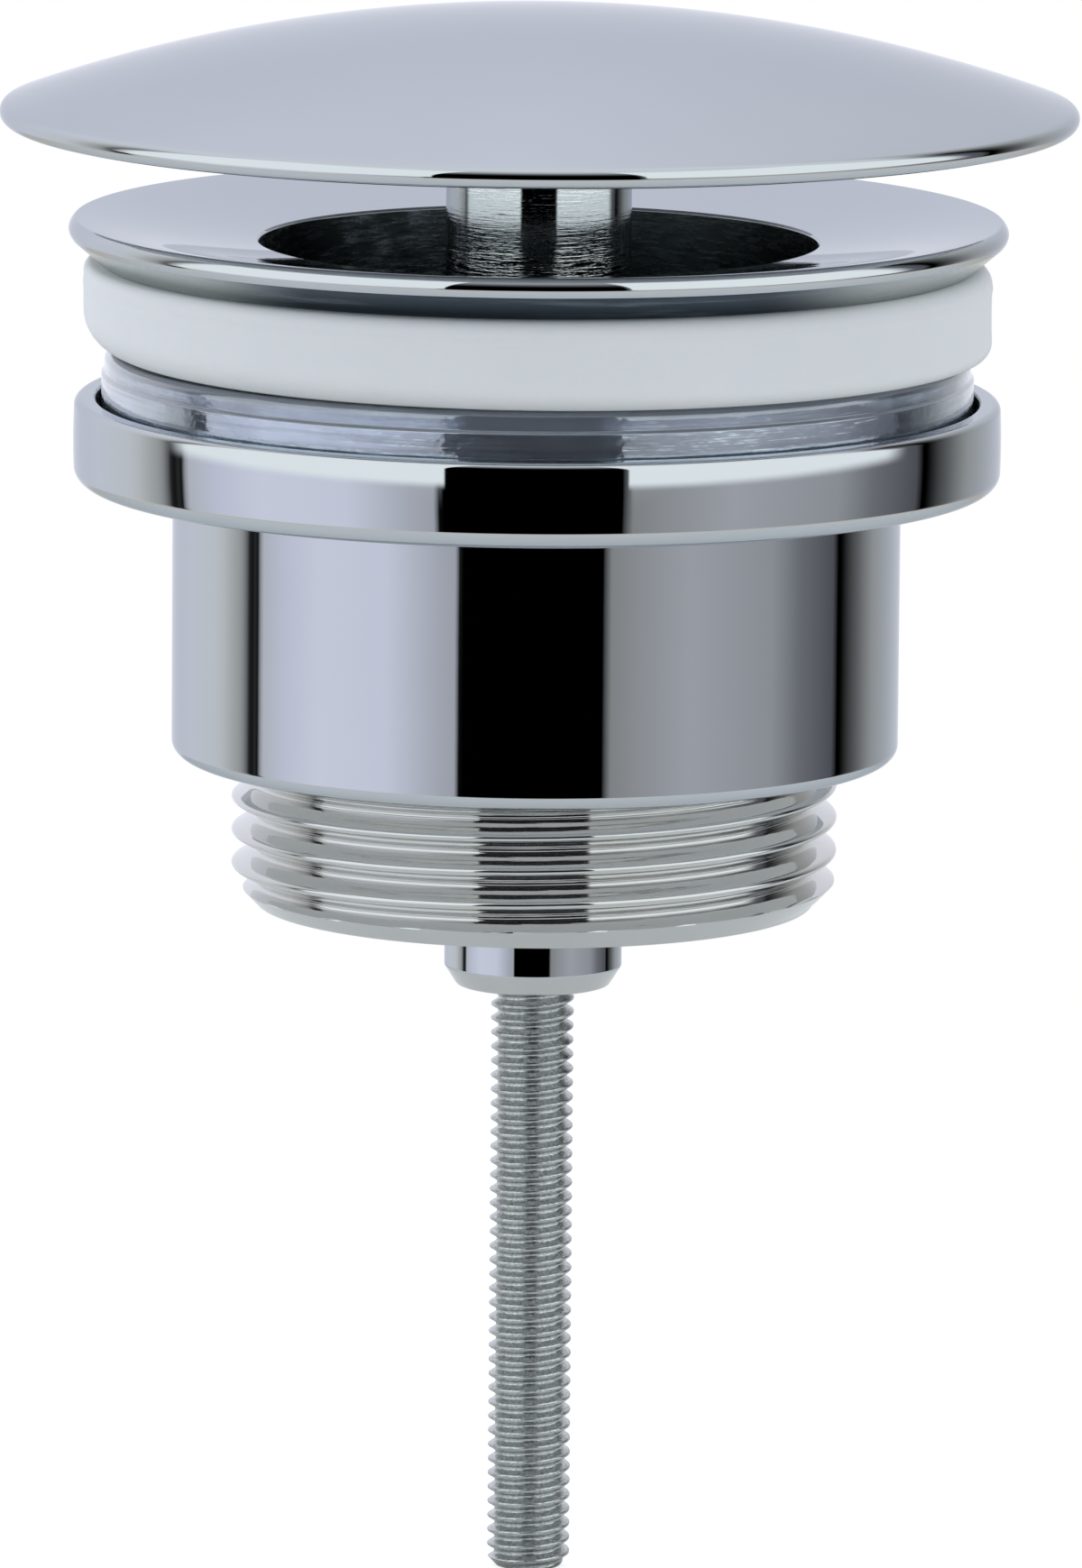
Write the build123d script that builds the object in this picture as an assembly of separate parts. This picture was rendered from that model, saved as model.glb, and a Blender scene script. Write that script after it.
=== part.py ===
from build123d import *
import math
import os

# Free-flow basin waste, in millimetres.
# +Z points up out of the basin. The origin lies on the axis, on the face that seals
# against the underside of the basin, which is the top of the clear lower washer.

# Outlet tail, G 1 1/4 pipe thread, drawn plain at its crest diameter
thread_crest_d = 41.60
tail_wall = 2.80
tail_length = 10.30
tail_chamfer_in = 1.65
tail_chamfer_up = 1.72
outlet_edge = 0.50

# Barrel and cup of the waste body
collar_clearance = 0.70
barrel_wall = 2.75
barrel_height = 18.75
barrel_edge_round = 0.95
floor_thickness = 3.00
cup_height = 5.83
cup_wall = 1.53
cup_crown = 0.08
cup_top_round = 0.50
cup_bottom_round = 1.10
recess_depth = 2.40

# Spider across the tail, with the tapped hub that the rod screws through
arm_count = 3
first_arm_angle = 90.0
spider_arm_width = 3.60
spider_arm_height = 5.50
spider_setback = 1.00
spider_arm_round = 0.80
spider_blend = 0.90
hub_d = 12.22
hub_drop = 5.80
hub_rise = 1.20
hub_chamfer_in = 0.85
hub_chamfer_up = 1.35
tap_countersink = 0.50

# Threaded rod, M6, drawn plain at its crest diameter
rod_d = 5.80
rod_length = 90.0
rod_grip = 11.05
rod_point = 0.60
running_clearance = 0.05

# Clear lower washer, with a round shoulder above a moulded ridge
washer_width = 7.25
washer_height = 5.57
washer_ridge_height = 4.05
washer_ridge_step = 0.22
washer_shoulder = 1.20
washer_play = 0.38
washer_bore_play = 1.10

# Soft white upper gasket
gasket_inset = 1.00
gasket_height = 6.05
gasket_round = 1.50
gasket_bore_play = 0.30
seal_gap = 0.10

# Upper flange: a shallow dish on a collar, with a bridge low in the collar
flange_overhang = 0.36
flange_bore_d = 38.20
flange_lip_round = 0.74
flange_rim_drop = 2.32
flange_undercut = 2.30
dish_rise = 0.84
dish_fall = 0.78
bore_edge = 0.30
collar_wall = 2.40
collar_length = 16.80
collar_edge = 0.60
bridge_hub_d = 14.00
bridge_hub_height = 4.00
bridge_hub_edge = 0.40
bridge_arm_width = 4.40
bridge_arm_height = 2.80
bridge_arm_round = 0.70
bridge_setback = 0.60
bridge_blend = 0.50
rod_pass_clearance = 0.40

# Slip washer between the stem and the bridge
slip_washer_d = 12.50
slip_washer_thickness = 0.80
slip_washer_play = 0.20

# Turned stem and domed cap
stem_d = 12.70
stem_length = 27.80
stem_edge = 0.40
stem_head_d = 19.00
stem_head_thickness = 1.60
stem_head_blend = 1.50
cap_d = 73.70
cap_sheet = 1.46
cap_rise = 6.99

# Diameters that follow from what has to fit
collar_d = flange_bore_d + 2 * collar_wall
barrel_bore_d = collar_d + 2 * collar_clearance
barrel_d = barrel_bore_d + 2 * barrel_wall
tail_bore_d = thread_crest_d - 2 * tail_wall
washer_bore_d = collar_d + 2 * washer_bore_play
washer_d = washer_bore_d + 2 * washer_width
recess_d = washer_d + 2 * washer_play
cup_d = recess_d + 2 * cup_wall
flange_d = cup_d + 2 * flange_overhang
gasket_d = flange_d - 2 * gasket_inset
gasket_bore_d = collar_d + 2 * gasket_bore_play
tapped_bore_d = rod_d + 2 * running_clearance
bridge_bore_d = rod_d + 2 * rod_pass_clearance
slip_washer_bore_d = rod_d + 2 * slip_washer_play

# Levels of the waste body, down from the sealing face
recess_floor_z = -washer_height
cup_top_z = recess_floor_z + recess_depth
cup_bottom_z = cup_top_z - cup_height
barrel_bottom_z = cup_bottom_z - barrel_height
outlet_z = barrel_bottom_z - tail_length
hub_bottom_z = outlet_z - hub_drop
spider_bottom_z = outlet_z + spider_setback
spider_top_z = spider_bottom_z + spider_arm_height
hub_top_z = spider_top_z + hub_rise

# Levels of the flange, stem and cap, up from the sealing face
flange_under_z = seal_gap + gasket_height
rim_z = flange_under_z + flange_rim_drop
bridge_bottom_z = flange_under_z - collar_length
bridge_top_z = bridge_bottom_z + bridge_hub_height
slip_washer_top_z = bridge_top_z + slip_washer_thickness
stem_bottom_z = slip_washer_top_z + running_clearance
dome_inner_apex_z = stem_bottom_z + stem_length
dome_apex_z = dome_inner_apex_z + cap_sheet
rod_top_z = stem_bottom_z + rod_grip
rod_bottom_z = rod_top_z - rod_length

# The dome is a spherical sheet with a full-round rim: its middle surface, its centre
# and the angle at which it stops follow from the cap's diameter, rise and sheet
rim_centre_r = cap_d / 2 - cap_sheet / 2
middle_rise = cap_rise - cap_sheet / 2
dome_middle_r = (rim_centre_r**2 + middle_rise**2) / (2 * middle_rise)
dome_outer_r = dome_middle_r + cap_sheet / 2
dome_inner_r = dome_middle_r - cap_sheet / 2
dome_centre_z = dome_apex_z - dome_outer_r
dome_angle = math.asin(rim_centre_r / dome_middle_r)


def turned(points, rounds=(), crowns=()):
    """A solid of revolution about Z from (radius, height) corners.

    rounds lists the corners to be rounded, each with its radius. crowns lists the corners
    whose next side, an upright one, bows outwards, each with how far.
    """
    bows = dict(crowns)
    sides = []
    for start, end in zip(points, points[1:] + points[:1]):
        if start in bows:
            middle = (start[0] + bows[start], (start[1] + end[1]) / 2)
            sides.append(ThreePointArc(start, middle, end))
        else:
            sides.append(Line(start, end))
    profile = make_face(sides)
    for corner, radius in rounds:
        vertex = profile.vertices().sort_by_distance((corner[0], corner[1], 0))[0]
        profile = fillet(vertex, radius)
    return revolve(Plane.XZ * profile, Axis.Z)


def on_dome(radius, angle):
    """The (radius, height) point of a sphere about the dome's centre, at an angle
    from straight up."""
    return (radius * math.sin(angle), dome_centre_z + radius * math.cos(angle))


def arms(reach_d, width, bottom_z, height, edge_round=0):
    """Equal radial arms from the axis out to a diameter, their long edges rounded."""
    arm = Box(reach_d / 2, width, height, align=(Align.MIN, Align.CENTER, Align.MIN))
    if edge_round:
        arm = fillet(arm.edges().filter_by(Axis.X), edge_round)
    places = PolarLocations(0, arm_count, start_angle=first_arm_angle)
    return Part() + [Pos(0, 0, bottom_z) * place * arm for place in places]


def roots(solid, radius, bottom_z, top_z):
    """The edges where arms run into a round wall of that radius."""
    found = []
    for edge in solid.edges():
        points = [edge @ 0, edge @ 0.3, edge @ 0.5, edge @ 0.7, edge @ 1]
        on_wall = all(abs(math.hypot(p.X, p.Y) - radius) < 0.01 for p in points)
        in_reach = all(bottom_z - 0.01 < p.Z < top_z + 0.01 for p in points)
        if on_wall and in_reach:
            found.append(edge)
    return found


def make_waste_body():
    """Cup, barrel and threaded tail turned from one piece, with the spider in the tail."""
    cup_r = cup_d / 2
    barrel_r = barrel_d / 2
    bore_r = barrel_bore_d / 2
    tail_r = thread_crest_d / 2
    tail_bore_r = tail_bore_d / 2
    funnel_bottom_z = barrel_bottom_z + floor_thickness
    funnel_top_z = funnel_bottom_z + bore_r - tail_bore_r
    cup_top_corner = (cup_r - cup_crown, cup_top_z)
    cup_bottom_corner = (cup_r - cup_crown, cup_bottom_z)
    barrel_corner = (barrel_r, barrel_bottom_z)
    shell = turned(
        [
            (recess_d / 2, cup_top_z),
            cup_top_corner,
            cup_bottom_corner,
            (barrel_r, cup_bottom_z),
            barrel_corner,
            (tail_r, barrel_bottom_z),
            (tail_r, outlet_z + tail_chamfer_up),
            (tail_r - tail_chamfer_in, outlet_z),
            (tail_bore_r + outlet_edge, outlet_z),
            (tail_bore_r, outlet_z + outlet_edge),
            (tail_bore_r, funnel_bottom_z),
            (bore_r, funnel_top_z),
            (bore_r, recess_floor_z),
            (recess_d / 2, recess_floor_z),
        ],
        [
            (cup_top_corner, cup_top_round),
            (cup_bottom_corner, cup_bottom_round),
            (barrel_corner, barrel_edge_round),
        ],
        [(cup_top_corner, cup_crown)],
    )
    hub_r = hub_d / 2
    hub = turned(
        [
            (0, hub_bottom_z),
            (hub_r - hub_chamfer_in, hub_bottom_z),
            (hub_r, hub_bottom_z + hub_chamfer_up),
            (hub_r, hub_top_z - tap_countersink),
            (hub_r - tap_countersink, hub_top_z),
            (0, hub_top_z),
        ]
    )
    spider_reach_d = tail_bore_d + tail_wall
    spokes = arms(
        spider_reach_d, spider_arm_width, spider_bottom_z, spider_arm_height, spider_arm_round
    )
    body = shell + spokes + hub
    arm_roots = roots(body, hub_r, spider_bottom_z, spider_top_z)
    arm_roots += roots(body, tail_bore_r, spider_bottom_z, spider_top_z)
    body = fillet(arm_roots, spider_blend)
    tap_r = tapped_bore_d / 2
    tap = turned(
        [
            (0, hub_bottom_z),
            (tap_r + tap_countersink, hub_bottom_z),
            (tap_r, hub_bottom_z + tap_countersink),
            (tap_r, hub_top_z - tap_countersink),
            (tap_r + tap_countersink, hub_top_z),
            (0, hub_top_z),
        ]
    )
    return body - tap


def make_bottom_washer():
    """Moulded clear ring: a straight wall in the cup, a ridge, and a round shoulder."""
    outer_r = washer_d / 2
    shoulder_r = outer_r - washer_ridge_step
    ridge_z = recess_floor_z + washer_ridge_height
    shoulder_corner = (shoulder_r, 0)
    inner_corner = (washer_bore_d / 2, 0)
    return turned(
        [
            (washer_bore_d / 2, recess_floor_z),
            (outer_r, recess_floor_z),
            (outer_r, ridge_z),
            (shoulder_r, ridge_z + washer_ridge_step),
            shoulder_corner,
            inner_corner,
        ],
        [(shoulder_corner, washer_shoulder), (inner_corner, washer_shoulder / 2)],
    )


def make_top_gasket():
    """Soft flat ring under the flange, with round corners."""
    inner_r = gasket_bore_d / 2
    outer_r = gasket_d / 2
    top_corner = (outer_r, flange_under_z)
    bottom_corner = (outer_r, seal_gap)
    return turned(
        [(inner_r, seal_gap), bottom_corner, top_corner, (inner_r, flange_under_z)],
        [(top_corner, gasket_round), (bottom_corner, gasket_round)],
    )


def make_top_flange():
    """Dished rim on a collar, with the bridge that the stem bears on."""
    rim_r = flange_d / 2
    bore_r = flange_bore_d / 2
    collar_r = collar_d / 2
    lip_corner = (rim_r, rim_z + dish_rise)
    under_corner = (rim_r, rim_z - flange_lip_round / 2)
    body = turned(
        [
            (bore_r + bore_edge, rim_z - dish_fall),
            lip_corner,
            under_corner,
            (rim_r - flange_undercut, flange_under_z),
            (collar_r, flange_under_z),
            (collar_r, bridge_bottom_z + collar_edge),
            (collar_r - collar_edge, bridge_bottom_z),
            (bore_r, bridge_bottom_z),
            (bore_r, rim_z - dish_fall - bore_edge),
        ],
        [(lip_corner, flange_lip_round), (under_corner, flange_lip_round)],
    )
    hub_r = bridge_hub_d / 2
    hub = turned(
        [
            (0, bridge_bottom_z),
            (hub_r - bridge_hub_edge, bridge_bottom_z),
            (hub_r, bridge_bottom_z + bridge_hub_edge),
            (hub_r, bridge_top_z - bridge_hub_edge),
            (hub_r - bridge_hub_edge, bridge_top_z),
            (0, bridge_top_z),
        ]
    )
    arms_bottom_z = bridge_bottom_z + bridge_setback
    arms_top_z = arms_bottom_z + bridge_arm_height
    bridge_reach_d = flange_bore_d + collar_wall
    bridge = arms(
        bridge_reach_d, bridge_arm_width, arms_bottom_z, bridge_arm_height, bridge_arm_round
    )
    body = body + bridge + hub
    arm_roots = roots(body, hub_r, arms_bottom_z, arms_top_z)
    arm_roots += roots(body, bore_r, arms_bottom_z, arms_top_z)
    body = fillet(arm_roots, bridge_blend)
    rod_hole = Pos(0, 0, bridge_bottom_z) * Cylinder(
        bridge_bore_d / 2, bridge_hub_height, align=(Align.CENTER, Align.CENTER, Align.MIN)
    )
    return body - rod_hole


def make_slip_washer():
    """Flat ring that lets the stem turn on the bridge."""
    inner_r = slip_washer_bore_d / 2
    outer_r = slip_washer_d / 2
    return turned(
        [
            (inner_r, bridge_top_z),
            (outer_r, bridge_top_z),
            (outer_r, slip_washer_top_z),
            (inner_r, slip_washer_top_z),
        ]
    )


def make_dome_cap():
    """Pressed spherical sheet with a full-round rim."""
    half = dome_angle / 2
    rim = on_dome(dome_middle_r, dome_angle)
    rim_out = (
        rim[0] + cap_sheet / 2 * math.cos(dome_angle),
        rim[1] - cap_sheet / 2 * math.sin(dome_angle),
    )
    outer_top = on_dome(dome_outer_r, 0)
    outer_rim = on_dome(dome_outer_r, dome_angle)
    inner_top = on_dome(dome_inner_r, 0)
    inner_rim = on_dome(dome_inner_r, dome_angle)
    outline = [
        ThreePointArc(outer_top, on_dome(dome_outer_r, half), outer_rim),
        ThreePointArc(outer_rim, rim_out, inner_rim),
        ThreePointArc(inner_rim, on_dome(dome_inner_r, half), inner_top),
        Line(inner_top, outer_top),
    ]
    return revolve(Plane.XZ * make_face(outline), Axis.Z)


def make_cap_stem():
    """Turned stem whose head fits the inside of the dome, tapped below for the rod."""
    stem_r = stem_d / 2
    head_r = stem_head_d / 2
    head_angle = math.asin(head_r / dome_inner_r)
    top = on_dome(dome_inner_r, 0)
    head_edge = on_dome(dome_inner_r, head_angle)
    head_middle = on_dome(dome_inner_r, head_angle / 2)
    head_under_z = head_edge[1] - stem_head_thickness
    neck = (stem_r, head_under_z)
    outline = [
        ThreePointArc(top, head_middle, head_edge),
        Polyline(
            head_edge,
            (head_r, head_under_z),
            neck,
            (stem_r, stem_bottom_z + stem_edge),
            (stem_r - stem_edge, stem_bottom_z),
            (0, stem_bottom_z),
            top,
        ),
    ]
    profile = make_face(outline)
    vertex = profile.vertices().sort_by_distance((neck[0], neck[1], 0))[0]
    profile = fillet(vertex, stem_head_blend)
    stem = revolve(Plane.XZ * profile, Axis.Z)
    socket = Pos(0, 0, stem_bottom_z) * Cylinder(
        rod_d / 2, rod_grip, align=(Align.CENTER, Align.CENTER, Align.MIN)
    )
    return stem - socket


def make_threaded_rod():
    """Long M6 stud, pointed at both ends."""
    rod_r = rod_d / 2
    return turned(
        [
            (0, rod_bottom_z),
            (rod_r - rod_point, rod_bottom_z),
            (rod_r, rod_bottom_z + rod_point),
            (rod_r, rod_top_z - rod_point),
            (rod_r - rod_point, rod_top_z),
            (0, rod_top_z),
        ]
    )


pieces = {
    "waste_body": make_waste_body(),
    "bottom_washer": make_bottom_washer(),
    "top_gasket": make_top_gasket(),
    "top_flange": make_top_flange(),
    "slip_washer": make_slip_washer(),
    "dome_cap": make_dome_cap(),
    "cap_stem": make_cap_stem(),
    "threaded_rod": make_threaded_rod(),
}

os.makedirs("parts", exist_ok=True)
for name, piece in pieces.items():
    export_step(piece, f"parts/{name}.step")
    low = piece.bounding_box().min
    high = piece.bounding_box().max
    print(f"{name:14s} volume {piece.volume:9.1f}  z {low.Z:8.2f} to {high.Z:8.2f}  d {high.X - low.X:6.2f}")
print("rod below the hub", round(hub_bottom_z - rod_bottom_z, 2))
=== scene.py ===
import math

import bmesh
import bpy
from mathutils import Matrix, Vector, noise


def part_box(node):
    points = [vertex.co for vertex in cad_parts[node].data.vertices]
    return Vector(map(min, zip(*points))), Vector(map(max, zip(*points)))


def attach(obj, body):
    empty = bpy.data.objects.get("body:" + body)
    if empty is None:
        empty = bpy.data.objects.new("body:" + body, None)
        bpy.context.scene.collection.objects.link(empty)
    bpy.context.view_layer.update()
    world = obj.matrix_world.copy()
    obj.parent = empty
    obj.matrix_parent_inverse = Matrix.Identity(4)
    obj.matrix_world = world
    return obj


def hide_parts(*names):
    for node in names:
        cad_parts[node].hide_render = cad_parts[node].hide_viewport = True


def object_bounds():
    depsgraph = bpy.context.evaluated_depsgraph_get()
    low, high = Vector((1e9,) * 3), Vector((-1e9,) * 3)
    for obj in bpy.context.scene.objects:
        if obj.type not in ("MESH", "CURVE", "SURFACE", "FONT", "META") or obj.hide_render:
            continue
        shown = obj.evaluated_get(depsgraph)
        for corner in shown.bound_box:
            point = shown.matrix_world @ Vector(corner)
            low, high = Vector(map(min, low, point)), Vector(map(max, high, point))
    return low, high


# Free-flow basin waste. Sizes are in millimetres until they become a vertex.
# Heights run up from the face of the clear washer that seals under the basin.
mm = 0.001
near = 0.01     # millimetres within which two places count as the same
weld = 1e-7     # metres within which two vertices become one

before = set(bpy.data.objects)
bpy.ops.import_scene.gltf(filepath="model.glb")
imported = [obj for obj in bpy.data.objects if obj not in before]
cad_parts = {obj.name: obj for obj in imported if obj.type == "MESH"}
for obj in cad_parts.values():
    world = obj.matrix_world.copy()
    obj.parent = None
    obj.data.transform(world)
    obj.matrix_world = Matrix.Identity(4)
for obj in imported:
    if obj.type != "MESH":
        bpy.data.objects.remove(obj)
cadLow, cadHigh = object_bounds()
print("frame loaded:", ", ".join(sorted(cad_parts)))


# Meshes

def turnedSize(node):
    # outer radius, bottom and top of a turned part in the frame
    low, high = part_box(node)
    return (high.x - low.x) / 2 / mm, low.z / mm, high.z / mm


def roundCorner(bm, vert, before, after, size, segments):
    # rounds one corner of a flat outline; the reach along both sides gives a true arc
    spot = Vector((vert.co.x, vert.co.z))
    half = (before - spot).angle(after - spot) / 2
    bmesh.ops.bevel(bm, geom=[vert], offset=size * mm / math.tan(half), offset_type="OFFSET",
                    segments=segments, profile=0.5, affect="VERTICES", material=-1)


def holdFlats(bm, margin):
    # a short edge beside each corner keeps the long flats flat under smooth shading
    for edge in bm.edges[:]:
        if edge.calc_length() < 6 * margin * mm:
            continue
        first, last = edge.verts
        if first.co.x > margin * mm:
            bmesh.utils.edge_split(edge, first, margin * mm / edge.calc_length())
        if last.co.x > margin * mm:
            far = [e for e in last.link_edges if e.calc_length() > 4 * margin * mm]
            if far:
                bmesh.utils.edge_split(far[0], last, margin * mm / far[0].calc_length())


def turnedOutline(corners, arcSegments=10, margin=0.04):
    # the flat outline of a turned part, from corners of (radius, height, rounding)
    bm = bmesh.new()
    verts = [bm.verts.new((r * mm, 0, z * mm)) for r, z, _ in corners]
    spots = [Vector((r * mm, z * mm)) for r, z, _ in corners]
    bm.faces.new(verts)
    for i, vert in enumerate(verts):
        if corners[i][2]:
            after = spots[(i + 1) % len(spots)]
            roundCorner(bm, vert, spots[i - 1], after, corners[i][2], arcSegments)
    bmesh.ops.delete(bm, geom=bm.faces[:], context="FACES_ONLY")
    onAxis = [e for e in bm.edges if all(v.co.x < weld for v in e.verts)]
    bmesh.ops.delete(bm, geom=onAxis, context="EDGES")
    holdFlats(bm, margin)
    return bm


def longWall(bm, radius):
    # the upright sides of a flat outline at one radius
    return [e for e in bm.edges if e.calc_length() > mm
            and all(abs(v.co.x / mm - radius) < near for v in e.verts)]


def spinRound(bm, steps=240):
    # spins a flat outline about the upright axis into a closed skin
    bmesh.ops.spin(bm, geom=bm.verts[:] + bm.edges[:], cent=(0, 0, 0), axis=(0, 0, 1),
                   dvec=(0, 0, 0), angle=2 * math.pi, steps=steps, use_merge=True,
                   use_normal_flip=False, use_duplicate=False)
    bmesh.ops.remove_doubles(bm, verts=bm.verts, dist=weld)
    bmesh.ops.recalc_face_normals(bm, faces=bm.faces)


armMesh = {"edgeSegments": 6, "cuts": 44}


def lengthwise(part, length):
    # the edges that run along an arm
    return [e for e in part.edges if abs(e.verts[0].co.x - e.verts[1].co.x) > length * mm / 2]


def addArms(bm, arm, hubRadius, wallRadius, bottom):
    # equal arms between a hub and a round wall, with rounded edges and flared roots
    sunk, flare, width, height = arm["sunk"], arm["flare"], arm["width"], arm["height"]
    start = hubRadius - sunk
    length = wallRadius + sunk - start
    for number in range(arm["count"]):
        part = bmesh.new()
        bmesh.ops.create_cube(part, size=1)
        bmesh.ops.scale(part, vec=(length * mm, width * mm, height * mm), verts=part.verts)
        bmesh.ops.bevel(part, geom=lengthwise(part, length), offset=arm["round"] * mm,
                        offset_type="OFFSET", segments=armMesh["edgeSegments"], profile=0.5,
                        affect="EDGES", material=-1)
        bmesh.ops.subdivide_edges(part, edges=lengthwise(part, length), cuts=armMesh["cuts"])
        for vert in part.verts:
            x = vert.co.x / mm + length / 2
            toWall = min(x - sunk, length - sunk - x)
            if toWall < flare:
                inside = min(flare, flare - toWall)
                grow = flare - math.sqrt(max(flare ** 2 - inside ** 2, 0))
                vert.co.y *= 1 + 2 * grow / width
                vert.co.z *= 1 + 2 * grow / height
        bmesh.ops.translate(part, verts=part.verts,
                            vec=((start + length / 2) * mm, 0, (bottom + height / 2) * mm))
        angle = math.radians(arm["firstAngle"] + 360 * number / arm["count"])
        bmesh.ops.rotate(part, verts=part.verts, cent=(0, 0, 0),
                         matrix=Matrix.Rotation(angle, 3, "Z"))
        addPart(bm, part)


def addPart(bm, part):
    mesh = bpy.data.meshes.new("part")
    part.to_mesh(mesh)
    bm.from_mesh(mesh)
    bpy.data.meshes.remove(mesh)
    part.free()


def makeObject(name, bm, materials):
    mesh = bpy.data.meshes.new(name)
    bm.to_mesh(mesh)
    bm.free()
    for material in materials:
        mesh.materials.append(material)
    made = bpy.data.objects.new(name, mesh)
    bpy.context.scene.collection.objects.link(made)
    return made


def finishPiece(name, bm, body, node, materials, sharpAngle=38):
    piece = makeObject(name, bm, materials)
    piece.data.shade_smooth()
    piece.data.set_sharp_from_angle(angle=math.radians(sharpAngle))
    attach(piece, body)
    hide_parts(node)
    triangles = sum(len(p.vertices) - 2 for p in piece.data.polygons)
    print(f"{name}: {triangles} triangles")
    return piece


# Materials

def put(tree, kind, values=None, **settings):
    node = tree.nodes.new(kind)
    for key, value in settings.items():
        setattr(node, key, value)
    for key, value in (values or {}).items():
        if isinstance(value, bpy.types.NodeSocket):
            tree.links.new(value, node.inputs[key])
        else:
            node.inputs[key].default_value = value
    return node


def calculate(tree, operation, first, second=0.0):
    return put(tree, "ShaderNodeMath", {0: first, 1: second}, operation=operation).outputs[0]


def product(tree, first, *others):
    for other in others:
        first = calculate(tree, "MULTIPLY", first, other)
    return first


def smoothRise(tree, value, start, end):
    node = put(tree, "ShaderNodeMapRange", {"Value": value, "From Min": start, "From Max": end},
               interpolation_type="SMOOTHSTEP")
    return node.outputs["Result"]


def blendColours(tree, share, first, second):
    node = put(tree, "ShaderNodeMix", {0: share, 6: first, 7: second}, data_type="RGBA")
    return node.outputs[2]


def scaled(colour, factor):
    return [part * factor for part in colour[:3]] + [1]


def newMaterial(name, settings):
    material = bpy.data.materials.new(name)
    material.use_nodes = True
    tree = material.node_tree
    shader = tree.nodes["Principled BSDF"]
    for key, value in settings.items():
        shader.inputs[key].default_value = value
    return material, tree, shader


def spread(tree, scale, stretch=(1, 1, 1), detail=3.0, roughness=0.55):
    # noise on the piece's own place, scale in patches per metre
    where = put(tree, "ShaderNodeTexCoord").outputs["Object"]
    mapped = put(tree, "ShaderNodeMapping", {"Vector": where, "Scale": stretch}).outputs[0]
    grain = put(tree, "ShaderNodeTexNoise", {"Vector": mapped, "Scale": scale, "Detail": detail,
                                             "Roughness": roughness})
    return grain.outputs["Fac"]


def between(tree, value, low, high):
    node = put(tree, "ShaderNodeMapRange", {"Value": value, "To Min": low, "To Max": high})
    return node.outputs["Result"]


def ownPlace(tree, axis):
    # 0, 1 or 2 for the piece's own X, Y or Z, in metres
    place = put(tree, "ShaderNodeTexCoord").outputs["Object"]
    return put(tree, "ShaderNodeSeparateXYZ", {0: place}).outputs[axis]


def paint(tree, shader, share, first, second):
    colour = blendColours(tree, share, first, second)
    tree.links.new(colour, shader.inputs["Base Color"])


def roughen(tree, shader, pattern, limits):
    tree.links.new(between(tree, pattern, *limits), shader.inputs["Roughness"])


def bump(tree, shader, height, distance):
    node = put(tree, "ShaderNodeBump", {"Height": height, "Distance": distance * mm,
                                        "Strength": 1.0})
    tree.links.new(node.outputs[0], shader.inputs["Normal"])


# In the values below, patterns are in patches per metre and depths in millimetres.

chrome = {
    "colour": (0.60, 0.625, 0.655, 1),
    "edge": (0.735, 0.75, 0.775, 1),    # keeps grazing reflections as dull as the others
    "uneven": 0.03,                     # share by which the colour varies
    "roughness": (0.01, 0.035),
    "clouds": 60,                       # slow change in polish
    "ripple": 170,                      # left by the buffing
    "rippleDepth": 0.0016,
}


def polishedChrome():
    material, tree, shader = newMaterial("polishedChrome", {
        "Metallic": 1.0, "Specular Tint": chrome["edge"]})
    clouds = spread(tree, chrome["clouds"])
    paint(tree, shader, clouds, scaled(chrome["colour"], 1 - chrome["uneven"]),
          scaled(chrome["colour"], 1 + chrome["uneven"]))
    roughen(tree, shader, clouds, chrome["roughness"])
    bump(tree, shader, spread(tree, chrome["ripple"]), chrome["rippleDepth"])
    return material


satin = {
    "colour": (0.70, 0.72, 0.755, 1),
    "roughness": (0.45, 0.65),
    "grain": 2500,
    "grainDepth": 0.006,
}


def satinMetal():
    # plated but never polished: the inside of the pressed dome
    material, tree, shader = newMaterial("satinMetal", {
        "Metallic": 1.0, "Base Color": satin["colour"]})
    grain = spread(tree, satin["grain"], detail=4.0)
    roughen(tree, shader, grain, satin["roughness"])
    bump(tree, shader, grain, satin["grainDepth"])
    return material


thread = {
    "colour": (0.652, 0.655, 0.645, 1),
    "metal": 0.97,
    "roughness": (0.02, 0.07),
    "toolLines": 5200,
    "toolDepth": 0.004,
}


def threadChrome():
    # brighter, thinner plating over the marks of the threading tool
    material, tree, shader = newMaterial("threadChrome", {
        "Metallic": thread["metal"], "Base Color": thread["colour"]})
    rings = spread(tree, thread["toolLines"], stretch=(0.02, 0.02, 1))
    roughen(tree, shader, rings, thread["roughness"])
    bump(tree, shader, rings, thread["toolDepth"])
    return material


turned = {
    "colour": (0.80, 0.82, 0.815, 1),
    # painted shade: the near-black colour of the scratches lower down
    "scratchShade": (0.02, 0.025, 0.025, 1),
    "lines": 6500,                      # tool marks
    "lineDepth": 0.045,
    "fine": 0.20,                       # share of that depth above the darker lower part
    "roughness": (0.02, 0.09),
    "darkeningDown": (9.0, 5.9),                 # heights where the painted-shade scratches start and where most are
    "scratchLimit": (0.74, 0.52),       # how high a mark must rise to be one, above and there
    "scratchEdge": (-0.01, 0.03),
}


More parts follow.
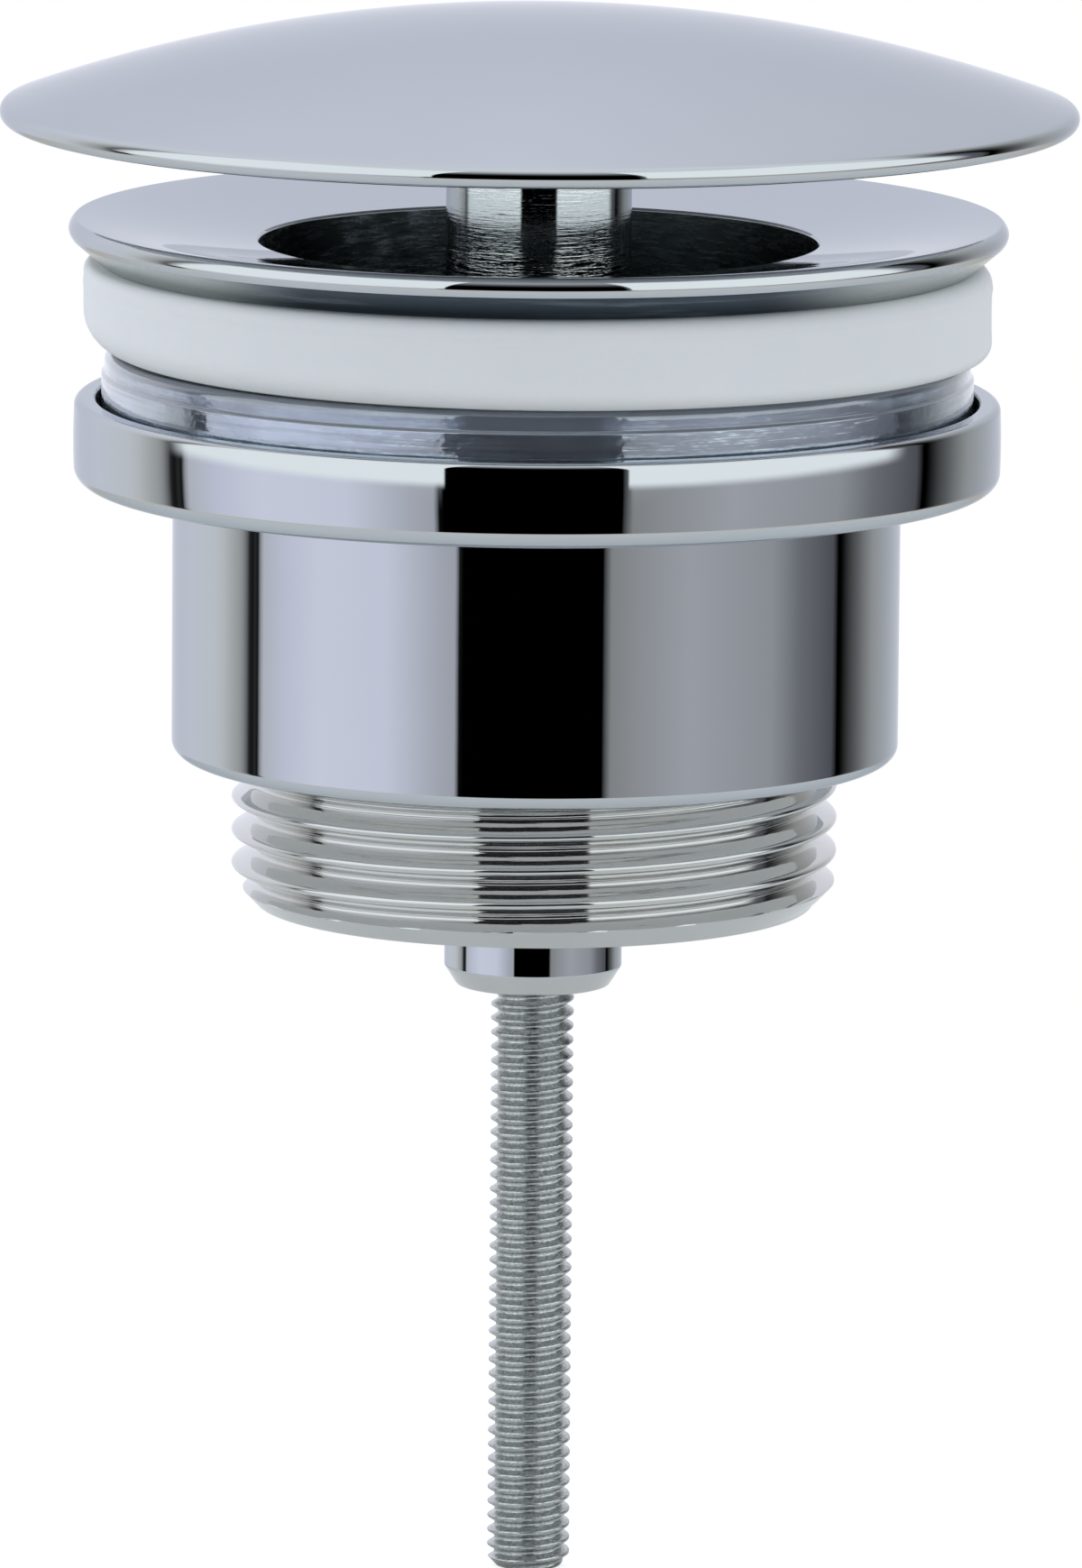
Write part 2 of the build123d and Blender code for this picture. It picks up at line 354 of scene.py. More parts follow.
def turnedChrome():
    # level tool marks that spread reflections up and down; lower down, towards the hole,
    # near-black scratches along the real tool marks are painted shade
    material, tree, shader = newMaterial("turnedChrome", {
        "Metallic": 1.0, "Specular Tint": chrome["edge"]})
    rings = spread(tree, turned["lines"], stretch=(0.07, 0.07, 1), roughness=0.6)
    start, end = turned["darkeningDown"]
    darkeningDown = smoothRise(tree, ownPlace(tree, 2), start * mm, end * mm)
    over = calculate(tree, "SUBTRACT", rings, between(tree, darkeningDown, *turned["scratchLimit"]))
    scratchShade = smoothRise(tree, over, *turned["scratchEdge"])
    paint(tree, shader, scratchShade, turned["colour"], turned["scratchShade"])
    roughen(tree, shader, rings, turned["roughness"])
    depth = between(tree, darkeningDown, turned["fine"], 1.0)
    bump(tree, shader, product(tree, rings, depth), turned["lineDepth"])
    return material


# The bore is painted dark, as shade, with pale clouds of painted light on its left side.
bore = {
    "colour": (0.15, 0.18, 0.185, 1),
    "stain": (0.04, 0.055, 0.06, 1),
    "litCloud": (0.50, 0.57, 0.64, 1),
    "clouds": 130,
    "cloudRange": (0.40, 0.62),         # parts of the pattern where clouds start and are full
    "litCloudsFrom": (-4, -10),            # places across, in millimetres, where they do: painted light on the left side of the bore
    "roughness": (0.12, 0.40),
    "mottle": 3200,
    "mottleRange": (0.35, 0.65),        # how the mottle breaks up the clouds
    "mottleDepth": 0.02,
}


def borePaintedShade():
    # a dark colour painted as the shade deep in the waste, with pale clouds of painted light on
    # its left side; mottled and rougher than the outside
    material, tree, shader = newMaterial("borePaintedShade", {"Metallic": 1.0})
    mottle = spread(tree, bore["mottle"], stretch=(0.16, 0.16, 1), detail=6.0, roughness=0.7)
    clouds = spread(tree, bore["clouds"], detail=5.0, roughness=0.65)
    start, full = bore["litCloudsFrom"]
    patches = product(tree, smoothRise(tree, clouds, *bore["cloudRange"]),
                      smoothRise(tree, ownPlace(tree, 0), start * mm, full * mm),
                      smoothRise(tree, mottle, *bore["mottleRange"]))
    metal = blendColours(tree, mottle, bore["stain"], bore["colour"])
    paint(tree, shader, patches, metal, bore["litCloud"])
    roughen(tree, shader, mottle, bore["roughness"])
    bump(tree, shader, mottle, bore["mottleDepth"])
    return material


# The groove under the lip is painted dark, as shade; only its far sides keep a paler metal
# colour.
undercut = {
    "colour": (0.055, 0.075, 0.095, 1),
    "streak": (0.20, 0.24, 0.28, 1),
    "streaks": 1500,
    "streakRange": (0.5, 0.8),
    "side": (0.50, 0.53, 0.52, 1),
    "unshadedFrom": (15, 24),               # places across where the painted shade ends and the paler sides start, and where they are full
    "roughness": (0.14, 0.35),
}


def undercutPaintedShade():
    # painted shade in the groove under the lip: a dark colour with lighter streaks along the
    # tool lines stands in for the shade there, paler at the sides
    material, tree, shader = newMaterial("undercutPaintedShade", {"Metallic": 1.0})
    streaks = spread(tree, undercut["streaks"], stretch=(0.05, 0.05, 1))
    share = smoothRise(tree, streaks, *undercut["streakRange"])
    dark = blendColours(tree, share, undercut["colour"], undercut["streak"])
    start, full = undercut["unshadedFrom"]
    across = calculate(tree, "ABSOLUTE", ownPlace(tree, 0))
    paint(tree, shader, smoothRise(tree, across, start * mm, full * mm), dark, undercut["side"])
    roughen(tree, shader, streaks, undercut["roughness"])
    return material


zinc = {
    "light": (0.66, 0.675, 0.67, 1),
    "dark": (0.29, 0.305, 0.305, 1),
    "roughness": (0.07, 0.24),
    "grains": 8000,
    "grainRange": (0.3, 0.65),
    "grainDepth": 0.012,
}


def zincSteel():
    # dull plating over a rolled thread
    material, tree, shader = newMaterial("zincSteel", {"Metallic": 1.0})
    grains = spread(tree, zinc["grains"], stretch=(0.6, 0.6, 1), detail=5.0, roughness=0.75)
    paint(tree, shader, smoothRise(tree, grains, *zinc["grainRange"]), zinc["dark"],
          zinc["light"])
    roughen(tree, shader, grains, zinc["roughness"])
    bump(tree, shader, grains, zinc["grainDepth"])
    return material


foam = {
    "light": (0.83, 0.855, 0.845, 1),
    "shade": (0.785, 0.81, 0.80, 1),
    "patches": 90,
    "pores": 5200,
    "poreDepth": 0.010,
}


def whiteFoam():
    material, tree, shader = newMaterial("whiteFoam", {
        "Roughness": 0.85, "Specular IOR Level": 0.25, "Subsurface Weight": 0.15,
        "Subsurface Scale": 0.8 * mm, "Sheen Weight": 0.08, "Sheen Roughness": 0.5})
    paint(tree, shader, spread(tree, foam["patches"], detail=4.0), foam["shade"], foam["light"])
    bump(tree, shader, spread(tree, foam["pores"], detail=2.0), foam["poreDepth"])
    return material


vinyl = {
    "tint": (0.78, 0.865, 1.0, 1),
    "clear": 0.82,                      # the rest is milkiness
    "roughness": (0.0, 0.08),
    "index": 1.47,
    "glossIndex": 1.6,
    "patches": 160,
    "flowLines": 2600,                  # left by the moulding
    "flowDepth": 0.014,
    "waves": 7.0,                       # depth of the patches over that of the lines
    "mirror": (0.18, 0.50),             # share of metal that shows, above and below the ridge
    "ridge": -1.52,
    "ridgeBlend": 0.1,
    "lineRange": (0.25, 0.6),
    "lineShare": (0.6, 1.1),            # what the lines and the clouds make of that share
    "clouds": 260,
    "cloudShare": (0.5, 1.4),
}


def clearVinyl():
    material, tree, shader = newMaterial("clearVinyl", {
        "Base Color": vinyl["tint"], "Transmission Weight": vinyl["clear"],
        "IOR": vinyl["index"], "Coat Weight": 1.0, "Coat IOR": vinyl["glossIndex"],
        "Coat Roughness": 0.10})
    lines = spread(tree, vinyl["flowLines"], stretch=(0.03, 0.03, 1), detail=4.0)
    patches = spread(tree, vinyl["patches"], stretch=(1, 1, 1.5), detail=4.0)
    roughen(tree, shader, patches, vinyl["roughness"])
    ridge, blend = vinyl["ridge"], vinyl["ridgeBlend"]
    deep = smoothRise(tree, ownPlace(tree, 2), (ridge + blend) * mm, (ridge - blend) * mm)
    streaks = smoothRise(tree, lines, *vinyl["lineRange"])
    mirror = product(tree, between(tree, deep, *vinyl["mirror"]),
                     between(tree, streaks, *vinyl["lineShare"]),
                     between(tree, spread(tree, vinyl["clouds"]), *vinyl["cloudShare"]))
    tree.links.new(mirror, shader.inputs["Metallic"])
    waves = product(tree, patches, vinyl["waves"])
    bump(tree, shader, calculate(tree, "ADD", waves, lines), vinyl["flowDepth"])
    waved = shader.inputs["Normal"].links[0].from_socket
    tree.links.new(waved, shader.inputs["Coat Normal"])
    return material


nylon = {
    "light": (0.80, 0.80, 0.77, 1),
    "dark": (0.74, 0.74, 0.71, 1),
    "marks": 900,
    "markDepth": 0.006,
}


def nylonWhite():
    material, tree, shader = newMaterial("nylonWhite", {
        "Roughness": 0.45, "Subsurface Weight": 0.2, "Subsurface Scale": 0.5 * mm})
    marks = spread(tree, nylon["marks"])
    paint(tree, shader, marks, nylon["dark"], nylon["light"])
    bump(tree, shader, marks, nylon["markDepth"])
    return material


chromeFinish = polishedChrome()
satinFinish = satinMetal()
threadFinish = threadChrome()
turnedFinish = turnedChrome()
boreShadeFinish = borePaintedShade()
undercutShadeFinish = undercutPaintedShade()
rodFinish = zincSteel()
foamFinish = whiteFoam()
vinylFinish = clearVinyl()
nylonFinish = nylonWhite()
print("materials ready")


# Dome cap: a spherical sheet with a full-round rim

domeCap = {"sheet": 1.46, "rise": 6.99, "domeSteps": 44, "rimSteps": 14}


def domeMiddle():
    # radius of the rim's middle, and of the sphere halfway through the sheet
    radius, _, _ = turnedSize("dome_cap")
    half = domeCap["sheet"] / 2
    rimRadius = radius - half
    rise = domeCap["rise"] - half
    return rimRadius, (rimRadius ** 2 + rise ** 2) / (2 * rise)


def buildDomeCap():
    _, _, top = turnedSize("dome_cap")
    rimRadius, middleRadius = domeMiddle()
    centre = top - domeCap["sheet"] / 2 - middleRadius
    opening = math.asin(rimRadius / middleRadius)
    rimHeight = centre + middleRadius * math.cos(opening)
    arcs = (
        ((0, centre), opening, domeCap["domeSteps"]),
        ((rimRadius, rimHeight), math.pi, domeCap["rimSteps"]),
        ((0, centre), -opening, domeCap["domeSteps"]),
    )
    bm = bmesh.new()
    last = [bm.verts.new((0, 0, top * mm))]
    for spot, angle, steps in arcs:
        made = bmesh.ops.spin(bm, geom=last, cent=(spot[0] * mm, 0, spot[1] * mm),
                              axis=(0, 1, 0), dvec=(0, 0, 0), angle=angle, steps=steps,
                              use_merge=False, use_normal_flip=False, use_duplicate=False)
        last = [g for g in made["geom_last"] if isinstance(g, bmesh.types.BMVert)]
    last[0].co.x = 0
    spinRound(bm, steps=288)
    bm.normal_update()
    for face in bm.faces:
        middle = face.calc_center_median()
        if face.normal.z < 0 and math.hypot(middle.x, middle.y) < rimRadius * mm:
            face.material_index = 1
    finishPiece("domeCap", bm, "cap_and_rod", "dome_cap",
                [chromeFinish, satinFinish], sharpAngle=80)


buildDomeCap()


# Cap stem: turned, tapped below for the rod, with a head under the dome

capStem = {
    "headRadius": 9.5, "headThick": 1.6, "headGap": 0.02, "headRound": 0.3, "headBlend": 1.5,
    "radius": 6.35, "edge": 0.4, "edgeRound": 0.15, "mouthRound": 0.1,
    "socketDepth": 11.05, "socketRadius": 2.9,
}


def buildCapStem():
    _, bottom, _ = turnedSize("cap_stem")
    _, _, domeTop = turnedSize("dome_cap")
    inner = domeTop - domeCap["sheet"]
    innerRadius = domeMiddle()[1] - domeCap["sheet"] / 2
    headRadius, gap = capStem["headRadius"], capStem["headGap"]
    drop = innerRadius - math.sqrt(innerRadius ** 2 - headRadius ** 2)
    under = inner - drop - capStem["headThick"]
    radius, edge = capStem["radius"], capStem["edge"]
    socket, socketTop = capStem["socketRadius"], bottom + capStem["socketDepth"]
    bm = turnedOutline([
        (0, inner - gap, 0),
        (headRadius, inner - drop - gap, capStem["headRound"]),
        (headRadius, under, capStem["headRound"]),
        (radius, under, capStem["headBlend"]),
        (radius, bottom + edge, capStem["edgeRound"]),
        (radius - edge, bottom, capStem["mouthRound"]),
        (socket, bottom, capStem["mouthRound"]),
        (socket, socketTop, 0),
        (0, socketTop, 0),
    ])
    spinRound(bm, steps=160)
    finishPiece("capStem", bm, "cap_and_rod", "cap_stem", [turnedFinish])


buildCapStem()


# Threaded rod: M6, rolled thread, pointed at both ends

rod = {
    "crest": 2.86, "root": 2.37, "pitch": 1.0, "crestHalf": 0.09, "rootHalf": 0.10,
    "crestRound": 0.10, "rootRound": 0.09, "point": 0.62, "steps": 44, "spareTurns": 2,
    "crestHeight": 0.2,                 # where a crest passes the +X side
}


def rodTurn():
    # one turn of the thread, starting half a pitch below the crest's height
    pitch, crest, root = rod["pitch"], rod["crest"], rod["root"]
    core = root - 1     # closes the outline, and is cut away again
    oneTurn = turnedOutline([
        (core, 0, 0),
        (root, 0, 0),
        (root, rod["rootHalf"] * pitch, rod["rootRound"]),
        (crest, (0.5 - rod["crestHalf"]) * pitch, rod["crestRound"]),
        (crest, (0.5 + rod["crestHalf"]) * pitch, rod["crestRound"]),
        (root, (1 - rod["rootHalf"]) * pitch, rod["rootRound"]),
        (root, pitch, 0),
        (core, pitch, 0),
    ], arcSegments=3, margin=0.01)
    inner = [v for v in oneTurn.verts if v.co.x < (root - near / 2) * mm]
    bmesh.ops.delete(oneTurn, geom=inner, context="VERTS")
    bmesh.ops.spin(oneTurn, geom=oneTurn.verts[:] + oneTurn.edges[:], cent=(0, 0, 0),
                   axis=(0, 0, 1), dvec=(0, 0, pitch * mm / rod["steps"]), angle=2 * math.pi,
                   steps=rod["steps"], use_merge=False, use_normal_flip=False,
                   use_duplicate=False)
    return oneTurn


def buildRod():
    _, bottom, top = turnedSize("threaded_rod")
    pitch = rod["pitch"]
    oneTurn = rodTurn()
    first = rod["crestHeight"] - pitch / 2
    lowest = math.floor(bottom - first) - rod["spareTurns"]
    bmesh.ops.translate(oneTurn, verts=oneTurn.verts, vec=(0, 0, (first + lowest * pitch) * mm))
    bm = bmesh.new()
    mesh = bpy.data.meshes.new("rodTurn")
    for _ in range(math.ceil((top - bottom) / pitch) + 2 * rod["spareTurns"]):
        oneTurn.to_mesh(mesh)
        bm.from_mesh(mesh)
        bmesh.ops.translate(oneTurn, verts=oneTurn.verts, vec=(0, 0, pitch * mm))
    oneTurn.free()
    bpy.data.meshes.remove(mesh)
    bmesh.ops.remove_doubles(bm, verts=bm.verts, dist=0.002 * mm)
    for vert in bm.verts:
        radius = math.hypot(vert.co.x, vert.co.y) / mm
        height = vert.co.z / mm
        room = min(height - bottom, top - height)
        limit = rod["crest"] - rod["point"] + max(room, 0)
        if radius > limit:
            vert.co.x *= limit / radius
            vert.co.y *= limit / radius
    for level, side in ((bottom, "clear_inner"), (top, "clear_outer")):
        bmesh.ops.bisect_plane(bm, geom=bm.verts[:] + bm.edges[:] + bm.faces[:], dist=weld,
                               plane_co=(0, 0, level * mm), plane_no=(0, 0, 1), **{side: True})
    ends = [e for e in bm.edges if e.is_boundary]
    bmesh.ops.holes_fill(bm, edges=ends, sides=0)
    bmesh.ops.recalc_face_normals(bm, faces=bm.faces)
    finishPiece("threadedRod", bm, "cap_and_rod", "threaded_rod", [rodFinish],
                sharpAngle=60)


buildRod()


# Top flange: shallow dish on a collar, with the bridge that the stem bears on

topFlange = {
    "rimDrop": 2.32, "undercut": 2.3, "underRound": 0.25, "underLean": 0.6, "noseRound": 0.82,
    "crestIn": 0.42, "crestRound": 0.3, "dishRise": 0.74, "dishFall": 0.78,
    "rimBow": 0.87, "bowDepth": 0.3, "bowRows": 24,
    "boreRadius": 19.1, "boreEdge": 0.15, "boreRound": 0.1,
    "collarRadius": 21.5, "collarEdge": 0.6, "collarRound": 0.15, "collarRoot": 0.3,
}
bridge = {
    "count": 3, "firstAngle": 90, "width": 4.4, "height": 2.8, "round": 0.7, "flare": 0.5,
    "sunk": 0.4, "setback": 0.6, "hubRadius": 7.0, "hubHeight": 4.0, "hubEdge": 0.4,
    "holeRadius": 3.3, "holeRound": 0.15,
}


def bowDish(bm, inner, crest):
    # raises the dish's upper face a little near the rim; both ends are (radius, height)
    above = [e for e in bm.edges if all(v.co.z > (inner[1] - 10 * near) * mm for v in e.verts)]
    slope = max(above, key=lambda edge: edge.calc_length())
    bmesh.ops.subdivide_edges(bm, edges=[slope], cuts=topFlange["bowRows"])
    depth = topFlange["bowDepth"]
    for vert in bm.verts:
        along = (vert.co.x / mm - inner[0]) / (crest[0] - inner[0])
        over = vert.co.z / mm - (inner[1] + (crest[1] - inner[1]) * along) + depth
        if 0 < along < 1 and over > 0:
            bow = along ** 4 * (1 - along) * topFlange["rimBow"]
            vert.co.z += bow * min(1, over / depth) * mm


def buildTopFlange():
    radius, bottom, _ = turnedSize("top_flange")
    under = turnedSize("top_gasket")[2]
    rim = under + topFlange["rimDrop"]
    crest = rim + topFlange["dishRise"]
    boreRadius, edge = topFlange["boreRadius"], topFlange["boreEdge"]
    hole = rim - topFlange["dishFall"]
    collar, collarEdge = topFlange["collarRadius"], topFlange["collarEdge"]
    nose, crestIn, collarRound = (topFlange[k] for k in ("noseRound", "crestIn", "collarRound"))
    bm = turnedOutline([
        (boreRadius + edge, hole, topFlange["boreRound"]),
        (radius - crestIn, crest, topFlange["crestRound"]),
        (radius, crest - crestIn, nose),
        (radius, rim - nose / 2, nose),
        (radius - topFlange["undercut"], under, topFlange["underRound"]),
        (collar, under, topFlange["collarRoot"]),
        (collar, bottom + collarEdge, collarRound),
        (collar - collarEdge, bottom, collarRound),
        (boreRadius, bottom, collarRound),
        (boreRadius, hole - edge, topFlange["boreRound"]),
    ])
    bowDish(bm, (boreRadius + edge, hole), (radius, crest))
    spinRound(bm, steps=256)
    bm.normal_update()
    for face in bm.faces:
        middle = face.calc_center_median()
        inBore = math.hypot(middle.x, middle.y) < (boreRadius + 2 * near) * mm
        inGroove = under + 10 * near < middle.z / mm < rim
        # the bore takes the bore finish, painted shade
        if inBore and middle.z < (hole - edge - 5 * near) * mm:
            face.material_index = 1
        # the groove's downward faces take the painted shade of the undercut finish
        elif inGroove and face.normal.z < -topFlange["underLean"]:
            face.material_index = 2
    hubRadius, hubTop = bridge["hubRadius"], bottom + bridge["hubHeight"]
    hub = turnedOutline([
        (bridge["holeRadius"], bottom, bridge["holeRound"]),
        (hubRadius, bottom, bridge["hubEdge"]),
        (hubRadius, hubTop, bridge["hubEdge"]),
        (bridge["holeRadius"], hubTop, bridge["holeRound"]),
    ])
    spinRound(hub, steps=96)
    addPart(bm, hub)
    addArms(bm, bridge, hubRadius, boreRadius, bottom + bridge["setback"])
    finishPiece("topFlange", bm, "upper_flange", "top_flange",
                [chromeFinish, boreShadeFinish, undercutShadeFinish])


buildTopFlange()


# Slip washer between the stem and the bridge

slipWasher = {"boreRadius": 3.1, "edge": 0.12}


def buildSlipWasher():
    radius, bottom, top = turnedSize("slip_washer")
    inner, edge = slipWasher["boreRadius"], slipWasher["edge"]
    bm = turnedOutline([(inner, bottom, edge), (radius, bottom, edge), (radius, top, edge),
                        (inner, top, edge)], arcSegments=4)
    spinRound(bm, steps=96)
    finishPiece("slipWasher", bm, "upper_flange", "slip_washer", [nylonFinish])


buildSlipWasher()


# Top gasket: soft foam ring, squeezed a little unevenly, its lower edge rounder on the left

topGasket = {
    "boreRadius": 21.8, "innerRound": 0.6, "rows": 40, "skin": 0.3,
    "topRound": (1.2, 0.5),             # at the right and at the left
    "lowRound": (1.0, 2.9),
    "waist": 0.10, "uneven": 0.07, "patches": 60,
    "ridgeHeight": 4.75, "ridge": 0.06, "ridgeWidth": 0.20,
}


def roundedIn(depth, size):
    # how far a rounded edge has drawn in at a depth from the face that it rounds
    inside = max(size - depth, 0)
    return size - math.sqrt(max(size ** 2 - inside ** 2, 0))


def drawnIn(up, height, side, spot):
    # how far the gasket's wall stands back, at a height above its lower face
    lowRound, topRound = [right + (left - right) * side ** 2 for right, left in (
        topGasket["lowRound"], topGasket["topRound"])]
    level = 2 * up / height - 1
    drawn = roundedIn(up, lowRound) + roundedIn(height - up, topRound)
    drawn += topGasket["waist"] * (1 - level ** 2) * (1 - side)
    return drawn + topGasket["uneven"] * (0.5 + 0.5 * noise.noise(spot * topGasket["patches"]))


def buildTopGasket():
    radius, bottom, top = turnedSize("top_gasket")
    inner, innerRound, skin = (topGasket[k] for k in ("boreRadius", "innerRound", "skin"))
    height = top - bottom
    bm = turnedOutline([(inner, bottom, innerRound), (radius, bottom, 0), (radius, top, 0),
                        (inner, top, innerRound)], margin=0.2)
    wall = [e for e in bm.edges if all(v.co.x > (radius - skin) * mm for v in e.verts)]
    ends = {v for e in wall for v in e.verts}
    loose = [v for v in bm.verts if v in ends and bottom + near < v.co.z / mm < top - near]
    bmesh.ops.dissolve_verts(bm, verts=loose)
    bmesh.ops.subdivide_edges(bm, edges=longWall(bm, radius), cuts=topGasket["rows"] - 1)
    spinRound(bm)
    for vert in bm.verts:
        spot = vert.co.copy()
        out = math.hypot(spot.x, spot.y) / mm
        if out < radius - skin:
            continue
        # rows crowd towards both faces, where the edges are rounded
        share = min(max((spot.z / mm - bottom) / height, 0), 1)
        up = height * (1 - math.cos(math.pi * share)) / 2
        side = (1 - spot.x / mm / out) / 2
        away = (up + bottom - topGasket["ridgeHeight"]) / topGasket["ridgeWidth"]
        drawn = drawnIn(up, height, side, spot) - topGasket["ridge"] * math.exp(-away ** 2)
        moved = min(radius - drawn, radius) - (radius - out)
        vert.co.x *= moved / out
        vert.co.y *= moved / out
        if out > radius - near:
            vert.co.z = (bottom + up) * mm
    piece = finishPiece("topGasket", bm, "upper_flange", "top_gasket",
                        [foamFinish], sharpAngle=80)


buildTopGasket()


# Bottom washer: clear moulded ring with a ridge under a round shoulder

bottomWasher = {
    "boreRadius": 22.6, "ridgeHeight": 4.05, "ridgeStep": 0.22, "ridgeRound": 0.08,
    "shoulder": 0.6, "innerRound": 0.2, "footRound": 0.25,
}


def buildBottomWasher():
    radius, bottom, top = turnedSize("bottom_washer")
    inner, shoulder = bottomWasher["boreRadius"], bottomWasher["shoulder"]
    ridge, step = bottom + bottomWasher["ridgeHeight"], bottomWasher["ridgeStep"]
    bm = turnedOutline([
        (inner, bottom, bottomWasher["innerRound"]),
        (radius, bottom, bottomWasher["footRound"]),
        (radius, ridge, bottomWasher["ridgeRound"]),
        (radius - step, ridge + step, bottomWasher["ridgeRound"]),
        (radius - step, top, shoulder),
        (inner, top, shoulder / 2),
    ])
    spinRound(bm)
    finishPiece("bottomWasher", bm, "lower_body", "bottom_washer", [vinylFinish])


buildBottomWasher()


# Waste body: cup, barrel and threaded tail in one, with the spider and its hub

wasteBody = {
    "recessRadius": 30.23, "recessDepth": 2.4, "recessRound": 0.2,
    "cupHeight": 5.83, "cupCrown": 0.08, "crownRows": 16, "cupTopRound": 0.5,
    "cupBottomRound": 1.1, "cupRoot": 0.3,
    "barrelRadius": 24.95, "barrelHeight": 18.75, "barrelRound": 0.95,
    "boreRadius": 22.2, "tailBore": 18.0, "floor": 3.0, "floorRound": 0.5,
    "tailLength": 10.3, "outletEdge": 0.5, "outletRound": 0.1,
    "innerLean": 0.3,
}
tailThread = {
    "crest": 20.8, "root": 19.32, "pitch": 2.309, "flank": 27.5, "round": 0.34, "rows": 130,
    "crestHeight": -34.30,              # where a crest passes the +X side
    "chamferIn": 1.65, "chamferUp": 1.72, "chamferRound": 0.08, "endBand": 0.1,
}
spider = {
    "count": 3, "firstAngle": 90, "width": 3.6, "height": 5.5, "round": 0.8, "flare": 0.9,
    "sunk": 0.4, "setback": 1.0, "hubRadius": 6.11, "hubDrop": 5.8, "hubRise": 1.2,
    "topRound": 0.1, "chamferIn": 0.85, "chamferUp": 1.35, "chamferRound": (0.3, 0.35),
    "holeRadius": 2.95, "holeEdge": 0.5, "holeRound": 0.08, "underLean": 0.3,
}


def softLimit(value, limit, rounding, lower):
    # keeps a value under (or over) a limit, with a rounded turn between the two
    gap = max(rounding - abs(value - limit), 0) / rounding
    if lower:
        return max(value, limit) + gap * gap * rounding / 4
    return min(value, limit) - gap * gap * rounding / 4


def threadRadius(height, angle, outlet):
    crest, root, pitch = tailThread["crest"], tailThread["root"], tailThread["pitch"]
    turns = (height - tailThread["crestHeight"]) / pitch - angle / (2 * math.pi)
    fromCrest = abs(turns - round(turns))
    slope = 1 / math.tan(math.radians(tailThread["flank"]))
    radius = (crest + root) / 2 + (0.25 - fromCrest) * pitch * slope
    radius = softLimit(radius, crest, tailThread["round"], False)
    radius = softLimit(radius, root, tailThread["round"], True)
    rise = (height - outlet) * tailThread["chamferIn"] / tailThread["chamferUp"]
    cone = crest - tailThread["chamferIn"] + rise
    return softLimit(radius, cone, tailThread["chamferRound"], False)


def cutThread(bm, outlet, barrelBottom):
    # draws the tail's plain wall in to the thread, and its end face with it
    crest = tailThread["crest"]
    for vert in bm.verts:
        radius = math.hypot(vert.co.x, vert.co.y) / mm
        height = vert.co.z / mm
        onWall = abs(radius - crest) < near and height < barrelBottom + near
        onEnd = crest - tailThread["endBand"] < radius < crest and height < outlet + near
        if onWall or onEnd:
            angle = math.atan2(vert.co.y, vert.co.x)
            cut = threadRadius(height, angle, outlet) - (crest - radius)
            vert.co.x *= cut / radius
            vert.co.y *= cut / radius


def buildHub(bottom, top):
    radius, edge = spider["hubRadius"], spider["holeEdge"]
    hole, holeRound = spider["holeRadius"], spider["holeRound"]
    chamferLow, chamferHigh = spider["chamferRound"]
    hub = turnedOutline([
        (hole + edge, bottom, holeRound),
        (radius - spider["chamferIn"], bottom, chamferLow),
        (radius, bottom + spider["chamferUp"], chamferHigh),
        (radius, top - edge, spider["topRound"]),
        (radius - edge, top, spider["topRound"]),
        (hole + edge, top, holeRound),
        (hole, top - edge, holeRound),
        (hole, bottom + edge, holeRound),
    ])
    spinRound(hub, steps=128)
    for face in hub.faces:
        if face.normal.z < -spider["underLean"]:
            face.material_index = 2
    return hub


